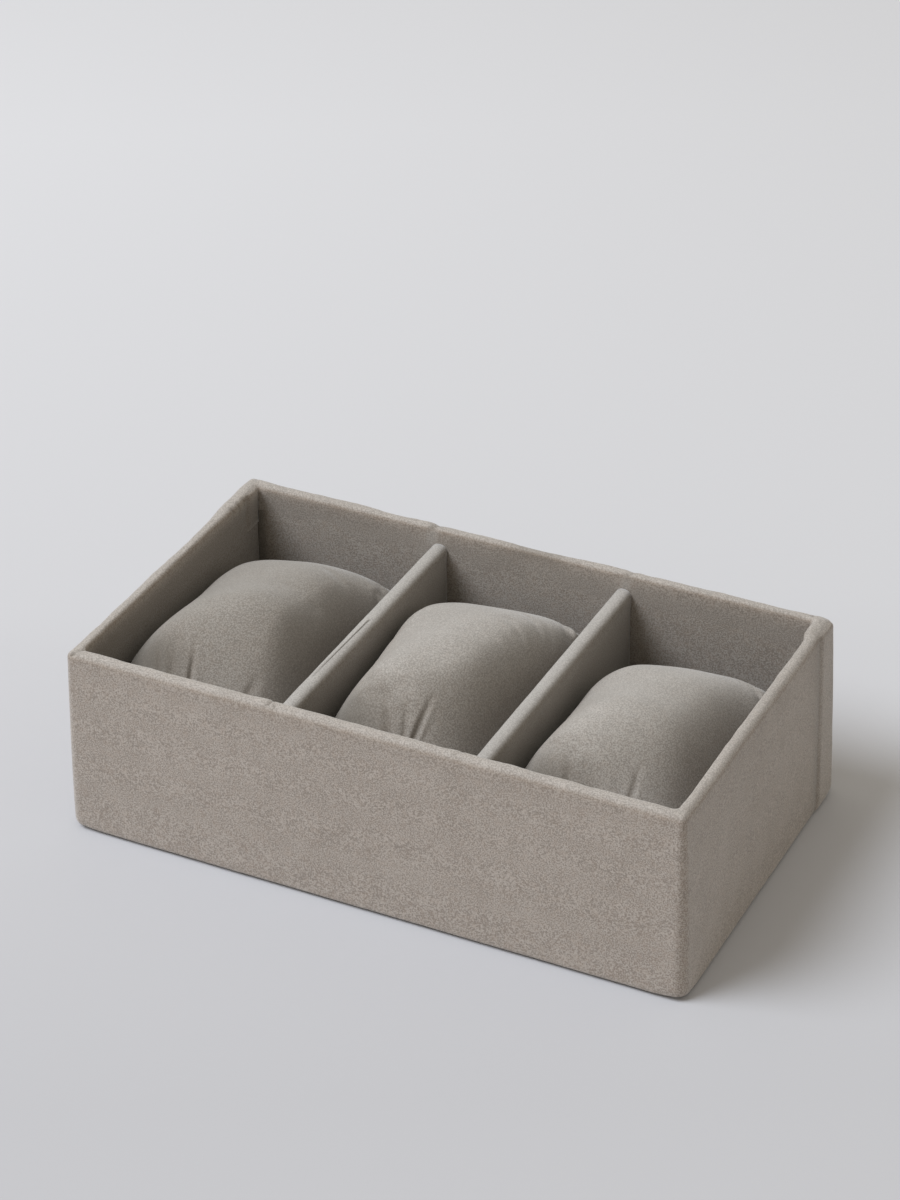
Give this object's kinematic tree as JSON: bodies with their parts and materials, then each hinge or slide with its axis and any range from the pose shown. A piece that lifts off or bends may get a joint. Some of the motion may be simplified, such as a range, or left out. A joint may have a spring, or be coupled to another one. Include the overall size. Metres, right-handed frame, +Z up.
{
  "type": "watch tray",
  "caption": "Open rectangular tray with velvet covered walls, fixed dividers lower than the rim, and loose cushions that lift out, for keeping watches and bracelets.",
  "frame": {"origin": "on the standing surface, under the middle of the tray", "axes": "+X along the tray to the right as seen from the front, +Y from front to back, +Z up"},
  "size_m": [0.22, 0.126, 0.069],
  "materials": {
    "fibreboard": "matte",
    "wrap_velvet": "matte",
    "lining_velvet": "matte",
    "cushion_velvet": "matte",
    "card": "matte",
    "underside_paper": "matte",
    "filling": "matte"
  },
  "bodies": {
    "tray": {"front_wall_board": "fibreboard", "back_wall_board": "fibreboard", "left_wall_board": "fibreboard", "right_wall_board": "fibreboard", "base_board": "fibreboard", "left_divider_board": "fibreboard", "right_divider_board": "fibreboard", "outer_velvet_wrap": "wrap_velvet", "front_lining": "lining_velvet", "back_lining": "lining_velvet", "left_lining": "lining_velvet", "right_lining": "lining_velvet", "left_floor_lining": "lining_velvet", "middle_floor_lining": "lining_velvet", "right_floor_lining": "lining_velvet", "left_divider_cover": "lining_velvet", "right_divider_cover": "lining_velvet", "base_infill_card": "card", "underside_sheet": "underside_paper"},
    "left_cushion": {"left_cushion_cover": "cushion_velvet", "left_cushion_filling": "filling"},
    "middle_cushion": {"middle_cushion_cover": "cushion_velvet", "middle_cushion_filling": "filling"},
    "right_cushion": {"right_cushion_cover": "cushion_velvet", "right_cushion_filling": "filling"}
  },
  "joints": [
    {"name": "left_cushion_lift", "type": "slide", "parent": "tray", "child": "left_cushion", "axis": [0, 0, 1], "range_m": [0, 0.08]},
    {"name": "middle_cushion_lift", "type": "slide", "parent": "tray", "child": "middle_cushion", "axis": [0, 0, 1], "range_m": [0, 0.08]},
    {"name": "right_cushion_lift", "type": "slide", "parent": "tray", "child": "right_cushion", "axis": [0, 0, 1], "range_m": [0, 0.08]}
  ]
}
